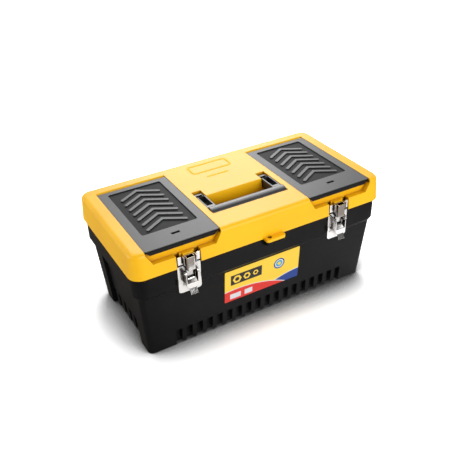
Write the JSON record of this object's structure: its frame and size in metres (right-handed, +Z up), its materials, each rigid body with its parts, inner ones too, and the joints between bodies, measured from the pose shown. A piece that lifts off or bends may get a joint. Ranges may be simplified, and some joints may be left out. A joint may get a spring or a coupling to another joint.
{
  "type": "toolbox with tray",
  "caption": "Plastic toolbox with tapered ribbed body, hinged lid with organizer bins under chevron covers, folding handle, steel draw latches and a lift-out tray.",
  "frame": {"origin": "on the floor, under the middle of the lid and body", "axes": "+X along the box, to the right seen from the front; -Y to the front with the latches; +Z up"},
  "size_m": [0.5, 0.2735, 0.225],
  "materials": {
    "yellow_plastic": "satin moulded polypropylene",
    "black_plastic": "fine-textured moulded polypropylene",
    "handle_plastic": "semi-gloss moulded plastic",
    "cover_plastic": "satin moulded plastic",
    "tray_plastic": "satin moulded polypropylene",
    "plated_steel": "bright nickel plating",
    "pin_steel": "drawn steel rod",
    "label_print": "printed vinyl sticker"
  },
  "bodies": {
    "box": {"body_shell": "black_plastic", "front_label": "label_print", "lid_hinge_pin_left": "pin_steel", "lid_hinge_pin_right": "pin_steel", "latch_base_left": "plated_steel", "latch_base_right": "plated_steel", "latch_rivets": "plated_steel", "latch_lever_rivets_left": "plated_steel", "latch_lever_rivets_right": "plated_steel"},
    "lid": {"lid_shell": "yellow_plastic", "organizer_bin_left": "yellow_plastic", "organizer_bin_right": "yellow_plastic", "handle_pin_left": "pin_steel", "handle_pin_right": "pin_steel", "cover_pin_left": "pin_steel", "cover_pin_right": "pin_steel"},
    "handle": {"handle": "handle_plastic"},
    "cover_left": {"organizer_cover_left": "cover_plastic"},
    "cover_right": {"organizer_cover_right": "cover_plastic"},
    "latch_left": {"latch_lever_left": "plated_steel", "latch_hook_pin_left": "plated_steel"},
    "latch_right": {"latch_lever_right": "plated_steel", "latch_hook_pin_right": "plated_steel"},
    "hook_left": {"latch_hook_left": "plated_steel"},
    "hook_right": {"latch_hook_right": "plated_steel"},
    "tray": {"tray": "tray_plastic", "tray_grip": "tray_plastic", "tray_dividers": "tray_plastic"}
  },
  "joints": [
    {"name": "lid_hinge", "type": "hinge", "parent": "box", "child": "lid", "pos_m": [0, 0.131, 0.174], "axis": [-1, 0, 0], "range_deg": [0, 100]},
    {"name": "tray_lift", "type": "slide", "parent": "box", "child": "tray", "axis": [0, 0, 1], "range_m": [0, 0.07]},
    {"name": "handle_pivot", "type": "hinge", "parent": "lid", "child": "handle", "pos_m": [0, 0.0035, 0.212], "axis": [-1, 0, 0], "range_deg": [0, 90]},
    {"name": "cover_left_hinge", "type": "hinge", "parent": "lid", "child": "cover_left", "pos_m": [-0.1555, 0.0917, 0.2177], "axis": [-1, 0, 0], "range_deg": [0, 100]},
    {"name": "latch_left_lever", "type": "hinge", "parent": "box", "child": "latch_left", "pos_m": [-0.151, -0.1284, 0.165], "axis": [-1, 0, 0], "range_deg": [0, 105]},
    {"name": "latch_left_hook", "type": "hinge", "parent": "latch_left", "child": "hook_left", "pos_m": [-0.151, -0.1259, 0.151], "axis": [-1, 0, 0], "range_deg": [-116, 0]},
    {"name": "cover_right_hinge", "type": "hinge", "parent": "lid", "child": "cover_right", "pos_m": [0.1555, 0.0917, 0.2177], "axis": [-1, 0, 0], "range_deg": [0, 100]},
    {"name": "latch_right_lever", "type": "hinge", "parent": "box", "child": "latch_right", "pos_m": [0.151, -0.1284, 0.165], "axis": [-1, 0, 0], "range_deg": [0, 105]},
    {"name": "latch_right_hook", "type": "hinge", "parent": "latch_right", "child": "hook_right", "pos_m": [0.151, -0.1259, 0.151], "axis": [-1, 0, 0], "range_deg": [-116, 0]}
  ],
  "couplings": [
    {"joint": "tray_lift", "follows": "lid_hinge", "m_per_rad": 0.0401},
    {"joint": "latch_left_hook", "follows": "latch_left_lever", "ratio": -1.1},
    {"joint": "latch_right_hook", "follows": "latch_right_lever", "ratio": -1.1}
  ]
}
